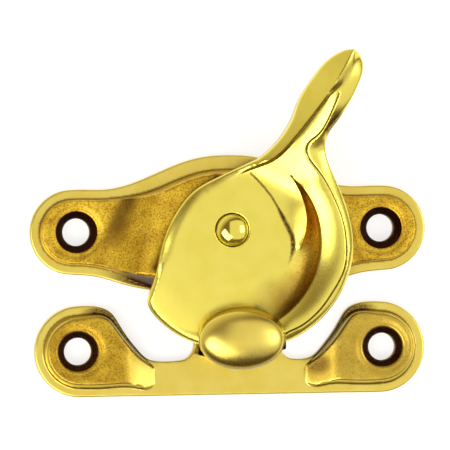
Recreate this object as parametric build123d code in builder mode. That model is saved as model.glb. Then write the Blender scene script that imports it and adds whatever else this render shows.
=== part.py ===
from build123d import *
from math import cos, radians, sin
import os

# Sizes in millimetres. X runs along the meeting rails of the two sashes, Y points
# from the keep towards the room, Z up from the wood. The origin is on the pivot's
# axis, on the underside of the base plate.

# Screw fixings, shared by the base plate and the keep
screw_spacing = 50.0
screw_hole_d = 4.5
screw_sink_d = 6.9
screw_sink_angle = 82.0

# Base plate: a flat flange round a raised, hollow body
base_length = 65.0
base_ear_r = 6.95
base_flange_t = 1.6
base_ear_h = 4.0
base_platform_h = 7.0
base_crown_y = 12.3
base_shoulder_x = 9.0
base_shoulder_y = 10.6
base_waist_x = 20.0
base_keep_y = 9.9
base_keep_flat_x = 10.0
base_flare_x = 17.5
base_flare_y = 8.6
base_wall = 1.8
ramp_top_x = 12.8
ramp_foot_x = 18.6

# How far the body's foot and top stand in from the flange's outline:
# at the ears, on the room side and on the keep side
foot_insets = (1.4, 2.2, 0.0)
top_insets = (2.1, 3.0, 2.3)

# Pivot: a domed rivet with a spring washer and a plain washer on its tail
rivet_shank_d = 4.0
rivet_head_d = 5.1
rivet_rim_h = 0.3
rivet_dome_h = 1.5
rivet_tail_d = 5.8
rivet_tail_h = 0.9
rivet_fit = 0.02
pivot_fit = 0.05
bearing_gap = 0.1
washer_gap = 0.03
washer_bore_d = 4.2
spring_d = 9.6
spring_t = 0.5
spring_dish = 0.7
tail_washer_d = 8.0
tail_washer_t = 0.8

# Cam and lever, one casting, drawn with the lever along its own X axis
lever_angle = 56.35
lever_length = 35.05
lever_root_x = 13.5
lever_root_w = 9.0
cam_plate_t = 2.5
cam_spiral_r = 12.45
cam_spiral_growth = 0.0325
rim_h = 5.1
rim_crown_drop = 0.4
rim_shoulder = 0.55
rim_bevel = 1.2
rim_overlap = 0.6

# Edge of the lever, from its left shoulder round the tip to its right shoulder:
# distance from the pivot, and place to the left of the lever's own line
lever_edge = (
    (18.3, 1.6),
    (26.8, 2.7),
    (32.85, 1.6),
    (lever_length, -0.8),
    (33.85, -3.0),
    (26.8, -4.55),
    (19.8, -4.9),
)

# Radius of the cam's edge by angle, in degrees clockwise from the lever
cam_edge = (
    (25.5, 18.7),
    (46.0, 18.9),
    (64.0, 19.8),
    (85.0, 20.3),
    (110.0, 20.3),
    (130.0, 19.9),
    (150.0, 19.4),
    (166.0, 19.3),
    (187.0, 18.8),
    (196.5, 18.0),
    (201.0, 16.4),
    (208.2, 14.1),
    (228.2, 11.3),
    (254.2, 9.5),
    (285.0, 8.8),
    (310.0, 8.8),
    (346.4, 12.14),
)

# Height of the rim by angle, from the lever's neck round to the mouth
rim_course = (
    (10.0, 3.4),
    (25.5, 4.9),
    (46.0, rim_h),
    (64.0, rim_h),
    (85.0, rim_h),
    (110.0, rim_h),
    (130.0, 4.8),
    (150.0, 2.2),
)

# Channel that the keep's lip runs in: angle clockwise from the lever, radius of its
# inner border, and depth of its floor below the cam's flat face
channel_course = (
    (14.0, 12.8, 0.3),
    (32.0, 12.5, 0.9),
    (56.0, 12.0, 1.2),
    (88.0, 10.4, 1.3),
    (120.0, 8.7, 1.1),
    (150.0, 8.0, 0.5),
    (178.0, 8.0, -0.3),
)

channel_lift = 0.05

# Lever's cross-sections: distance from the pivot, then sideways place and height
# over the cam's underside of the left edge, the ridge, the hollow beside it, the
# hollow's far side and the right edge, and the height of the underside
lever_sections = (
    (2.0, (10.0, 0.6), (7.0, 1.8), (6.4, 1.4), (-3.0, 1.3), (-14.0, 2.2), 0.0),
    (8.0, (7.0, 1.5), (4.4, 3.1), (3.8, 2.3), (-3.0, 2.2), (-13.0, 3.0), 0.0),
    (13.0, (4.0, 2.0), (1.1, 4.5), (0.5, 3.9), (-4.0, 3.6), (-11.0, 3.9), 0.0),
    (18.0, (3.0, 3.1), (0.0, 6.1), (-0.6, 5.4), (-2.6, 5.2), (-9.0, 4.4), 0.9),
    (22.5, (3.6, 4.5), (-0.4, 7.5), (-1.0, 6.8), (-3.1, 6.5), (-7.0, 5.3), 2.5),
    (27.0, (4.0, 5.5), (-0.65, 8.7), (-1.2, 8.1), (-2.5, 7.9), (-7.0, 6.3), 3.9),
    (31.5, (3.8, 6.1), (-0.65, 9.3), (-1.2, 8.8), (-2.6, 8.5), (-6.5, 7.0), 4.9),
    (36.0, (3.2, 5.9), (-0.1, 8.9), (-0.7, 8.5), (-2.2, 8.1), (-6.0, 7.0), 5.3),
)

# Keep: a flat bar with two raised pads, and the hook that holds the cam's rim, whose
# dome is drawn through ovals at a few slopes, in degrees
keep_screw_y = -19.5
keep_bar_t = 2.0
keep_pad_h = 4.0
keep_pad_c = 0.6
keep_back_y = -27.0
keep_front_y = -21.3
keep_ear_x = 24.6
keep_ear_r = 7.45
keep_neck_x = 12.0
pad_inset = 1.5
pad_ramp_x = 16.5
pad_end_x = 11.3
pad_end_rise = 0.3
tongue_half_w = 7.0
tongue_tip_y = -15.6
tongue_r = 2.6
hook_x = 1.1
hook_y = -17.55
hook_half_w = 7.1
hook_half_d = 5.1
hook_wall_h = 0.9
hook_draft_x = 0.2
hook_draft_y = 0.6
hook_lean = 0.4
hook_dome_h = 2.2
dome_slopes = (0.0, 22.0, 42.0, 60.0, 76.0)
hook_gap = 0.3
post_gap = 0.7
lip_inner_r = 12.7
lip_outer_r = 14.7
lip_half_angle = 16.0

# Inner side of the keep's outline, and of a raised pad's, from the ear to the bar
keep_side = (
    (19.6, -13.1),
    (17.1, -16.8),
)
pad_side = (
    (20.2, -14.0),
    (17.4, -17.4),
    (13.0, -21.7),
    (pad_end_x, -22.6),
)

# Heights and places that follow from the sizes above
cam_bottom = base_platform_h + bearing_gap
cam_top = cam_bottom + cam_plate_t
rim_top = cam_bottom + rim_h
hook_under = rim_top + hook_gap
lip_tip = cam_top + hook_gap
cam_reach = max(radius for angle, radius in cam_edge)
roof_under = base_platform_h - base_wall
spring_top = roof_under - washer_gap
washer_top = spring_top - spring_t - spring_dish - washer_gap
tail_top = washer_top - tail_washer_t - washer_gap
head_under = cam_top + washer_gap
half_length = base_length / 2
base_ear_x = half_length - base_ear_r
keep_ear_y = keep_back_y + keep_ear_r
os.makedirs("parts", exist_ok=True)
cam_plane = Plane(
    origin=(0, 0, 0),
    x_dir=(cos(radians(lever_angle)), sin(radians(lever_angle)), 0),
    z_dir=(0, 0, 1),
)


def on_cam(angle, radius):
    """Point in the cam's plane, at an angle clockwise from the lever."""
    return (radius * cos(radians(angle)), -radius * sin(radians(angle)))


def spiral_radius(angle):
    """Radius of the rim's inner wall, which draws the keep in as the cam turns."""
    return cam_spiral_r + cam_spiral_growth * angle


def radial_plane(angle, height):
    """Upright plane through the pivot, at an angle clockwise from the lever."""
    outward = cam_plane.x_dir.rotate(Axis.Z, -angle)
    return Plane(origin=(0, 0, height), x_dir=outward, z_dir=outward.cross(Vector(0, 0, 1)))


def base_profile(height, insets):
    """Outline of the base plate, drawn in by three insets, on a level plane."""
    ear_in, room_in, keep_in = insets
    ear = base_ear_r - ear_in
    with BuildSketch(Plane.XY.offset(height)) as profile:
        with BuildLine():
            Spline(
                (0, base_crown_y - room_in),
                (base_shoulder_x - ear_in / 2, base_shoulder_y - room_in),
                (base_waist_x, ear),
                tangents=((1, 0), (1, 0)),
            )
            Line((base_waist_x, ear), (base_ear_x, ear))
            ThreePointArc((base_ear_x, ear), (base_ear_x + ear, 0), (base_ear_x, -ear))
            Spline(
                (base_ear_x, -ear),
                (base_flare_x, -base_flare_y + (ear_in + keep_in) / 2),
                (base_keep_flat_x, -base_keep_y + keep_in),
                tangents=((-1, 0), (-1, 0)),
            )
            Line((base_keep_flat_x, -base_keep_y + keep_in), (0, -base_keep_y + keep_in))
            mirror(about=Plane.YZ)
        make_face()
    return profile.sketch


# Base plate's raised body: drafted walls, low at the ears, with a ramp up to the
# platform that the cam turns on
with BuildPart() as base_body:
    add(base_profile(0, foot_insets))
    add(base_profile(base_platform_h, top_insets))
    loft()
    with BuildSketch(Plane.XZ):
        with BuildLine():
            Polyline(
                (0, 0),
                (half_length, 0),
                (half_length, base_ear_h),
                (ramp_foot_x, base_ear_h),
                (ramp_top_x, base_platform_h),
                (0, base_platform_h),
            )
            mirror(about=Plane.YZ)
        make_face()
    extrude(amount=2 * base_crown_y, both=True, mode=Mode.INTERSECT)

with BuildPart() as base_plate:
    add(base_profile(0, (0, 0, 0)))
    extrude(amount=base_flange_t)
    add(base_body.part)
    with Locations((-screw_spacing / 2, 0, base_ear_h), (screw_spacing / 2, 0, base_ear_h)):
        CounterSinkHole(
            radius=screw_hole_d / 2,
            counter_sink_radius=screw_sink_d / 2,
            counter_sink_angle=screw_sink_angle,
        )
    # hollow under the platform, with the pivot's hole in its roof
    with BuildSketch():
        add(base_profile(0, tuple(inset + base_wall for inset in top_insets)))
        Rectangle(2 * ramp_top_x, 4 * base_crown_y, mode=Mode.INTERSECT)
    extrude(amount=roof_under, mode=Mode.SUBTRACT)
    with Locations((0, 0, base_platform_h)):
        Hole(radius=rivet_shank_d / 2 + rivet_fit)

base_plate.part.label = "base_plate"
export_step(base_plate.part, "parts/base_plate.step")

# Rivet: domed head over the cam, plain shank, and a tail spread under the washers
with BuildPart() as pivot_rivet:
    with BuildSketch(Plane.XZ):
        with BuildLine():
            Polyline(
                (rivet_head_d / 2, head_under + rivet_rim_h),
                (rivet_head_d / 2, head_under),
                (rivet_shank_d / 2, head_under),
                (rivet_shank_d / 2, tail_top),
                (rivet_tail_d / 2, tail_top),
                (rivet_tail_d / 3, tail_top - rivet_tail_h),
                (0, tail_top - rivet_tail_h),
                (0, head_under + rivet_dome_h),
            )
            TangentArc(
                (0, head_under + rivet_dome_h),
                (rivet_head_d / 2, head_under + rivet_rim_h),
                tangent=(1, 0),
            )
        make_face()
    revolve(axis=Axis.Z)

pivot_rivet.part.label = "pivot_rivet"
export_step(pivot_rivet.part, "parts/pivot_rivet.step")

# Spring washer: a dished ring of spring steel, pressed up against the hollow's roof
with BuildPart() as spring_washer:
    with BuildSketch(Plane.XZ):
        with BuildLine():
            Polyline(
                (washer_bore_d / 2, spring_top - spring_dish),
                (spring_d / 2, spring_top),
                (spring_d / 2, spring_top - spring_t),
                (washer_bore_d / 2, spring_top - spring_dish - spring_t),
                close=True,
            )
        make_face()
    revolve(axis=Axis.Z)

spring_washer.part.label = "spring_washer"
export_step(spring_washer.part, "parts/spring_washer.step")

# Plain washer that the rivet's tail is spread against
with BuildPart() as tail_washer:
    with BuildSketch(Plane.XY.offset(washer_top)):
        Circle(tail_washer_d / 2)
        Circle(washer_bore_d / 2, mode=Mode.SUBTRACT)
    extrude(amount=-tail_washer_t)

tail_washer.part.label = "tail_washer"
export_step(tail_washer.part, "parts/tail_washer.step")


def cam_outline(height):
    """Outline of the cam with its lever, seen from above, at a height."""
    with BuildSketch(cam_plane.offset(height)) as outline:
        with BuildLine():
            Spline([on_cam(*cam_edge[-1]), *lever_edge, on_cam(*cam_edge[0])])
            Spline([on_cam(angle, radius) for angle, radius in cam_edge])
        make_face()
    return outline.sketch


# Lever: a leaf with a ridge along it, which grows out of the cam's face and rises
# towards its tip, trimmed to the outline
with BuildPart() as lever:
    for distance, left, ridge, hollow, far, right, under in lever_sections:
        section = Plane(
            origin=cam_plane.x_dir * distance + Vector(0, 0, cam_bottom),
            x_dir=cam_plane.y_dir,
            z_dir=cam_plane.x_dir,
        )
        with BuildSketch(section):
            with BuildLine():
                Polyline(
                    (right[0], under), (left[0], under), left, ridge, hollow, far, right, close=True
                )
            make_face()
    loft()
    add(cam_outline(cam_bottom))
    extrude(amount=3 * rim_h, mode=Mode.INTERSECT)

# Rim: the raised wall along the cam's working edge, crowned, and lower at its ends
with BuildPart() as rim:
    edge_radius = dict(cam_edge)
    for turn, height in rim_course:
        wall = spiral_radius(turn) - rim_overlap
        edge = edge_radius.get(turn, cam_edge[0][1]) + rim_overlap
        shoulder = rim_shoulder * height
        with BuildSketch(radial_plane(turn, cam_bottom)):
            with BuildLine():
                Polyline(
                    (wall, height - rim_crown_drop),
                    (wall, 0),
                    (edge, 0),
                    (edge, shoulder),
                    (edge - rim_bevel, height - rim_crown_drop),
                    ((2 * wall + edge) / 3, height),
                    close=True,
                )
            make_face()
    loft()
    add(cam_outline(cam_bottom))
    extrude(amount=2 * rim_h, mode=Mode.INTERSECT)

# Channel: the groove between the rim and the cam's flat face, shallow at the lever
# and open at the mouth
with BuildPart() as channel:
    for turn, border, depth in channel_course:
        with BuildSketch(radial_plane(turn, cam_top)):
            with BuildLine():
                wall = spiral_radius(turn)
                Polyline((wall, -depth), (wall, rim_h), (border, rim_h), (border, channel_lift))
                Spline((border, channel_lift), ((border + wall) / 2, -0.75 * depth), (wall, -depth))
            make_face()
    loft()

with BuildPart() as cam_lever:
    add(cam_outline(cam_bottom))
    extrude(amount=cam_plate_t)
    with BuildSketch(cam_plane.offset(cam_bottom)):
        with Locations((lever_root_x + lever_length / 2, 0)):
            Rectangle(lever_length, 2 * lever_root_w)
    extrude(amount=cam_plate_t, mode=Mode.SUBTRACT)
    add(lever.part)
    add(rim.part)
    add(channel.part, mode=Mode.SUBTRACT)
    with Locations((0, 0, cam_top)):
        Hole(radius=rivet_shank_d / 2 + pivot_fit)

cam_lever.part.label = "cam_lever"
export_step(cam_lever.part, "parts/cam_lever.step")


def keep_outline():
    """Outline of the keep's bar and ears, without the tongue under the hook."""
    with BuildSketch() as outline:
        with BuildLine():
            Line((0, keep_back_y), (keep_ear_x, keep_back_y))
            ThreePointArc(
                (keep_ear_x, keep_back_y),
                (keep_ear_x + keep_ear_r, keep_ear_y),
                (keep_ear_x, keep_ear_y + keep_ear_r),
            )
            Spline(
                (keep_ear_x, keep_ear_y + keep_ear_r),
                *keep_side,
                (keep_neck_x, keep_front_y),
                tangents=((-1, 0), (-1, 0)),
            )
            Line((keep_neck_x, keep_front_y), (0, keep_front_y))
            mirror(about=Plane.YZ)
        make_face()
    return outline.sketch


# Raised pad round one of the keep's screw holes, which ramps down to the bar
with BuildPart() as keep_pad:
    with BuildSketch():
        with BuildLine():
            ear = keep_ear_r - pad_inset
            heel = (pad_end_x + pad_inset, keep_back_y + pad_inset)
            Line(heel, (keep_ear_x, keep_back_y + pad_inset))
            ThreePointArc(
                (keep_ear_x, keep_back_y + pad_inset),
                (keep_ear_x + ear, keep_ear_y),
                (keep_ear_x, keep_ear_y + ear),
            )
            Spline((keep_ear_x, keep_ear_y + ear), *pad_side, heel, tangents=((-1, 0), (1, 0)))
        make_face()
    extrude(amount=keep_pad_h)
    chamfer(keep_pad.edges().group_by(Axis.Z)[-1], length=keep_pad_c)
    with BuildSketch(Plane.XZ):
        with BuildLine():
            Polyline(
                (0, 0),
                (half_length, 0),
                (half_length, keep_pad_h),
                (pad_ramp_x, keep_pad_h),
                (pad_end_x, keep_bar_t + pad_end_rise),
                (0, keep_bar_t + pad_end_rise),
                close=True,
            )
        make_face()
    extrude(amount=-keep_back_y, mode=Mode.INTERSECT)
    mirror(about=Plane.YZ)


def hook_section(height):
    """Oval of the hook, seen from above, at a height."""
    with BuildSketch(Plane.XY.offset(height)) as section:
        with Locations((hook_x, hook_y)):
            Ellipse(hook_half_w, hook_half_d)
    return section.sketch


def dome_section(slope):
    """Oval of the hook's dome, which leans back from the cam, at a slope in degrees."""
    height = hook_under + hook_wall_h + hook_dome_h * sin(radians(slope))
    with BuildSketch(Plane.XY.offset(height)) as section:
        with Locations((hook_x, hook_y - hook_lean)):
            Ellipse(
                (hook_half_w - hook_draft_x) * cos(radians(slope)),
                (hook_half_d - hook_draft_y) * cos(radians(slope)),
            )
    return section.sketch


with BuildPart() as keep_plate:
    with BuildSketch() as bar:
        with Locations((hook_x, (keep_front_y + tongue_tip_y) / 2)):
            Rectangle(2 * tongue_half_w, tongue_tip_y - keep_front_y)
        add(keep_outline())
        fillet(bar.vertices().sort_by_distance((hook_x, keep_front_y))[:2], radius=tongue_r)
        fillet(bar.vertices().sort_by_distance((hook_x, 0))[:2], radius=tongue_r)
    extrude(amount=keep_bar_t)
    add(keep_pad.part)
    # post of the hook, cut back to clear the cam's edge
    with BuildSketch():
        add(hook_section(0))
        Circle(cam_reach + post_gap, mode=Mode.SUBTRACT)
    extrude(amount=hook_under)
    # head of the hook: a drafted wall under a low dome
    add(hook_section(hook_under))
    add(dome_section(dome_slopes[0]))
    loft()
    for slope in dome_slopes:
        add(dome_section(slope))
    loft(ruled=True)
    # lip that hangs into the channel
    with BuildSketch(Plane.XY.offset(lip_tip)):
        with BuildLine():
            start = -90 - lip_half_angle
            inner = CenterArc((0, 0), lip_inner_r, start, 2 * lip_half_angle)
            outer = CenterArc((0, 0), lip_outer_r, start, 2 * lip_half_angle)
            Line(inner @ 0, outer @ 0)
            Line(inner @ 1, outer @ 1)
        make_face()
        add(hook_section(lip_tip), mode=Mode.INTERSECT)
    extrude(amount=hook_under - lip_tip)
    with Locations(
        (-screw_spacing / 2, keep_screw_y, keep_pad_h),
        (screw_spacing / 2, keep_screw_y, keep_pad_h),
    ):
        CounterSinkHole(
            radius=screw_hole_d / 2,
            counter_sink_radius=screw_sink_d / 2,
            counter_sink_angle=screw_sink_angle,
        )

keep_plate.part.label = "keep_plate"
export_step(keep_plate.part, "parts/keep_plate.step")
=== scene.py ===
"""Looks of a cast brass sash fastener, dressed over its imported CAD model.

Lengths in the sections are millimetres until they reach a mesh. X runs along the
meeting rails, Y towards the room, Z up from the wood, with the pivot at the origin.
"""

import math

import bmesh
import bpy
import numpy as np
from mathutils import Matrix, Vector, geometry, kdtree


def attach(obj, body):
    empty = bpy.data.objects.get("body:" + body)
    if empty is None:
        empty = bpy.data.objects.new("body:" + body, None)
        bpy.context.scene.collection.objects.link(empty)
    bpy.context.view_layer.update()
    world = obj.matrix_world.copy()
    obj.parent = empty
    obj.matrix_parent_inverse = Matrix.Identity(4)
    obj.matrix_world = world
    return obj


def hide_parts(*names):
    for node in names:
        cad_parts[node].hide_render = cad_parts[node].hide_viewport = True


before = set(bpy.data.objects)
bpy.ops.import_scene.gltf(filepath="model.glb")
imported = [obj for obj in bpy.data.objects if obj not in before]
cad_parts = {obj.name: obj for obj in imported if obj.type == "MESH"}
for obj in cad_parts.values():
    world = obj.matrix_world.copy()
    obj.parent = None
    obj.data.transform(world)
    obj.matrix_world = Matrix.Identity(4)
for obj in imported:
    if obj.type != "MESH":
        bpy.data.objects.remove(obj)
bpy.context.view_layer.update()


# Base plate.
# A sand casting in yellow brass: a smooth flat flange round a raised body, which is
# left as cast on top and ramps up to the platform that the cam turns on. It is
# screwed to the inner sash's meeting rail through two countersunk holes.

MM = 0.001
NET = 0.24
BORE_R = 2.1
SCREW_SPACING = 50.0
HOLE_R = 2.25
SINK_R = 3.45
SINK_SLOPE = math.tan(math.radians(41))
SINK_DISH_H = 0.16
SINK_RINGS = (0.25, 0.5, 0.8, 1.1)
HALF_LENGTH = 32.5
EAR_R = 6.95
FLANGE_T = 1.6
EAR_H = 4.0
PLATFORM_H = 7.0
CROWN_Y = 12.3
KEEP_SIDE_Y = 9.9
UNDER_WALL_T = 1.8
RAMP_TOP_X = 12.8
RAMP_FOOT_X = 18.6
RAMP_SKEW = 0.25
RAMP_FOOT_ROUND = 0.9
RAMP_TOP_ROUND = 0.7
WALL_TOP_ROUND = 0.9
WALL_FOOT_ROUND = 0.25
EDGE_ROUND = 0.25
EDGE_RINGS = (0.04, 0.12, 0.25)
UNDER_TARNISH = 0.4
SHARP = math.radians(50)
# How far in from the edge the raised body's wall starts and ends: at the ears, on the
# room side and on the keep's side
EAR_WALL, ROOM_WALL, KEEP_WALL = (1.4, 2.1), (2.2, 3.0), (0.0, 2.3)
# Shares of the way up that wall where the net has rows of points
WALL_ROWS = (0.13, 0.2, 0.26, 0.34, 0.5, 0.62, 0.8, 1.0)
# Radii between which the painted shade in a screw hole's cone gives way to its bright lip
BASE_SINK_LIP = (3.36, 3.42)
# Line along the cam's left edge, where a painted shadow of the cam falls on the platform
CAM_SHADOW_LINE = ((-2.1, 8.5), (-5, 6.1), (-7.2, 3.9), (-8.8, 0.6), (-10.8, -3.1), (-12.4, -6))


def smooth(knots, values, at):
    """Natural cubic spline through values at knots, read at other places."""
    knots, values = np.asarray(knots, float), np.asarray(values, float)
    at = np.clip(at, knots[0], knots[-1])
    gap = np.diff(knots)
    slope = np.diff(values) / gap
    system = np.eye(len(knots))
    load = np.zeros(len(knots))
    for i in range(1, len(knots) - 1):
        system[i, i - 1 : i + 2] = gap[i - 1], 2 * (gap[i - 1] + gap[i]), gap[i]
        load[i] = 6 * (slope[i] - slope[i - 1])
    bend = np.linalg.solve(system, load)
    i = np.clip(np.searchsorted(knots, at) - 1, 0, len(gap) - 1)
    before, after = at - knots[i], knots[i + 1] - at
    curve = (bend[i] * after**3 + bend[i + 1] * before**3) / (6 * gap[i])
    start = (values[i] / gap[i] - bend[i] * gap[i] / 6) * after
    end = (values[i + 1] / gap[i] - bend[i + 1] * gap[i] / 6) * before
    return curve + start + end


def flowing(points, closed=False, spacing=0.2):
    """Smooth line through points, cut into short even steps."""
    points = np.array(points, float)
    if closed:
        points = np.vstack((points[-4:], points, points[:5]))
    reach = np.concatenate(([0], np.cumsum(np.hypot(*np.diff(points, axis=0).T))))
    first, last = (reach[4], reach[-5]) if closed else (0, reach[-1])
    at = np.linspace(first, last, max(3, round((last - first) / spacing) + 1))
    if closed:
        at = at[:-1]
    return np.column_stack([smooth(reach, points[:, axis], at) for axis in (0, 1)])


def arc(centre, radius, start, end, spacing=0.2):
    """Points along an arc, by its angles in degrees."""
    count = max(2, round(abs(math.radians(end - start)) * radius / spacing))
    turn = np.radians(np.linspace(start, end, count + 1))
    return np.column_stack((centre[0] + radius * np.cos(turn), centre[1] + radius * np.sin(turn)))


def ring(centre, radius, spacing=0.2):
    """Closed circle of points."""
    return arc(centre, radius, 0, 360, spacing)[:-1]


def distance(spots, line, closed=False):
    """How far each spot lies from a line."""
    ends = np.roll(line, -1, axis=0) if closed else line[1:]
    nearest = np.full(len(spots), np.inf)
    for start, end in zip(line, ends):
        along = end - start
        share = np.clip((spots - start) @ along / (along @ along), 0, 1)
        gap = spots - start - share[:, None] * along
        nearest = np.minimum(nearest, np.hypot(gap[:, 0], gap[:, 1]))
    return nearest


def inside(spots, loop):
    """Which spots lie inside a closed line."""
    x, y = spots.T
    within = np.zeros(len(spots), bool)
    for (x0, y0), (x1, y1) in zip(loop, np.roll(loop, -1, axis=0)):
        if y0 != y1:
            within ^= ((y0 > y) != (y1 > y)) & (x < x0 + (y - y0) * (x1 - x0) / (y1 - y0))
    return within


def inset(loop, depth):
    """Points a depth inside a loop that runs anticlockwise, where there is room."""
    along = np.roll(loop, -1, axis=0) - np.roll(loop, 1, axis=0)
    inward = np.column_stack((-along[:, 1], along[:, 0])) / np.hypot(*along.T)[:, None]
    depth = np.broadcast_to(depth, len(loop))
    moved = loop + depth[:, None] * inward
    return moved[distance(moved, loop, closed=True) > 0.97 * depth]


def step_up(value, low, high):
    """0 below low, 1 above high, and an even S between them."""
    share = np.clip((value - low) / (high - low), 0, 1)
    return share * share * (3 - 2 * share)


def hump(value, low, full, fading, high):
    """0 outside low and high, 1 from full to fading, and an even S on both sides."""
    return step_up(value, low, full) * (1 - step_up(value, fading, high))


def near(gap, width):
    """1 on a line and almost 0 at twice a width from it."""
    return np.exp(-((gap / width) ** 2))


def lower_of(a, b, blend):
    """The lower of two heights, rounded where they meet."""
    share = np.clip(0.5 + 0.5 * (b - a) / blend, 0, 1)
    return b + (a - b) * share - blend * share * (1 - share)


def higher_of(a, b, blend):
    """The higher of two heights, rounded where they meet."""
    return -lower_of(-a, -b, blend)


def rounding(depth, radius):
    """How far a rounded edge falls away at a depth in from it."""
    short = radius - np.clip(depth, 0, radius)
    return radius - np.sqrt(radius**2 - short**2)


def sunk(heights, spots, centres, face):
    """Heights cut by countersinks for screw heads, each in a shallow dish, in a level face."""
    for centre in centres:
        reach = np.hypot(*(spots - centre).T)
        dish = SINK_DISH_H * (1 - step_up(reach, SINK_R + 0.25, SINK_R + 1.25))
        cone = face - SINK_DISH_H - (SINK_R - reach) / SINK_SLOPE
        heights = np.where(reach < SINK_R, np.minimum(heights, cone), heights - dish)
    return heights


def casting(name, outline, holes, creases, dots, top, under, finish, net=NET):
    """Mesh of a casting: a fine net over its outline, raised to its top and underside.

    The net takes in the holes' rims, the creases and the dots as they are. top and
    under give a height for each spot, and finish gives the tarnish and painted shade
    on it and how far it has been left as cast.
    """
    lines = [outline, *holes, *creases]
    closed = [True] * (1 + len(holes)) + [False] * len(creases)
    seams, count = [], 0
    for line, loop in zip(lines, closed):
        last = len(line) if loop else len(line) - 1
        seams += [(count + i, count + (i + 1) % len(line)) for i in range(last)]
        count += len(line)
    fixed = np.vstack(lines + dots)
    low, high = outline.min(axis=0), outline.max(axis=0)
    rows = []
    for i, y in enumerate(np.arange(low[1], high[1], net * math.sqrt(0.75))):
        x = np.arange(low[0], high[0], net) + net / 2 * (i % 2)
        rows.append(np.column_stack((x, np.full(len(x), y))))
    spread = np.vstack(rows)
    spread = spread[inside(spread, outline)]
    tree = kdtree.KDTree(len(fixed))
    for i, spot in enumerate(fixed):
        tree.insert((spot[0], spot[1], 0), i)
    tree.balance()
    # no spread point crowds a fixed one
    spread = [s for s in spread if tree.find((s[0], s[1], 0))[2] > 0.62 * net]
    every = [Vector(spot) for spot in np.vstack((fixed, spread))]
    spots, _, faces, *_ = geometry.delaunay_2d_cdt(every, seams, [], 0, 1e-4)
    spots = np.array(spots)
    faces = np.array(faces)
    middles = spots[faces].mean(axis=1)
    kept = inside(middles, outline)
    for hole in holes:
        kept &= ~inside(middles, hole)
    used, faces = np.unique(faces[kept], return_inverse=True)
    faces = faces.reshape(-1, 3)
    spots = spots[used]
    total = len(spots)
    ends = np.concatenate((faces[:, [0, 1]], faces[:, [1, 2]], faces[:, [2, 0]]))
    free = ~np.isin(ends @ (total, 1), ends @ (1, total))
    start, end = ends[free].T
    sides = np.column_stack((end, start, start + total, end + total))
    tops, unders = top(spots), under(spots)
    points = np.vstack((np.column_stack((spots, tops)), np.column_stack((spots, unders))))
    mesh = bpy.data.meshes.new(name)
    every_face = [*faces.tolist(), *(faces[:, ::-1] + total).tolist(), *sides.tolist()]
    mesh.from_pydata(points * MM, [], every_face)
    mesh.shade_smooth()
    mesh.set_sharp_from_angle(angle=SHARP)
    # the first mark is mostly painted shade with some real tarnish, the second how far the piece
    # is left as cast
    for mark, values in zip(("tarnish_and_shade", "as_cast"), finish(spots)):
        layer = mesh.attributes.new(mark, "FLOAT", "POINT")
        values = np.concatenate((values, np.full(total, UNDER_TARNISH)))
        layer.data.foreach_set("value", values.astype(np.float32))
    piece = bpy.data.objects.new(name, mesh)
    bpy.context.scene.collection.objects.link(piece)
    return piece


ear_x = HALF_LENGTH - EAR_R
half = [(0, CROWN_Y), (-5, 11.85), (-9, 10.6), (-14, 8.5), (-20, EAR_R), (-23, EAR_R)]
half += [tuple(p) for p in arc((-ear_x, 0), EAR_R, 90, 270, spacing=1.5)]
half += [(-21.5, -7.4), (-17.5, -8.6), (-13.5, -9.55), (-10, -KEEP_SIDE_Y), (-5, -KEEP_SIDE_Y)]
base_points = half + [(0, -KEEP_SIDE_Y)] + [(-x, y) for x, y in half[:0:-1]]
base_line = flowing(base_points, closed=True)
base_screws = [np.array((side * SCREW_SPACING / 2, 0)) for side in (-1, 1)]


def wall_reach(spots):
    """How far in from the edge the raised body's wall starts, and where it ends."""
    ear = step_up(np.abs(spots[:, 0]), 11, 20)
    room = step_up(spots[:, 1], -4, 4)
    places = zip(EAR_WALL, ROOM_WALL, KEEP_WALL)
    return [ear * a + (1 - ear) * (room * b + (1 - room) * c) for a, b, c in places]


def base_walls(spots):
    """How deep in from the edge a spot lies, and the height of the drafted wall there."""
    depth = distance(spots, base_line, closed=True)
    foot, head = wall_reach(spots)
    return depth, PLATFORM_H * (depth - foot) / (head - foot)


def base_top(spots):
    """Height of the base plate's upper face."""
    depth, wall = base_walls(spots)
    across = np.abs(spots[:, 0]) + RAMP_SKEW * spots[:, 1]
    share = (across - RAMP_TOP_X) / (RAMP_FOOT_X - RAMP_TOP_X)
    ramp = PLATFORM_H - (PLATFORM_H - EAR_H) * share
    ramp = higher_of(ramp, EAR_H, RAMP_FOOT_ROUND)
    ramp = lower_of(ramp, PLATFORM_H, RAMP_TOP_ROUND)
    body = lower_of(wall, ramp, WALL_TOP_ROUND)
    heights = higher_of(body, FLANGE_T, WALL_FOOT_ROUND) - rounding(depth, EDGE_ROUND)
    return sunk(heights, spots, base_screws, EAR_H)


def base_under(spots):
    """Height of the underside, which is hollow below the platform."""
    depth = distance(spots, base_line, closed=True)
    head = np.where(spots[:, 1] > 0, ROOM_WALL[1], KEEP_WALL[1])
    hollow = (np.abs(spots[:, 0]) < RAMP_TOP_X) & (depth > head + UNDER_WALL_T)
    return np.where(hollow, PLATFORM_H - UNDER_WALL_T, 0)


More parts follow.
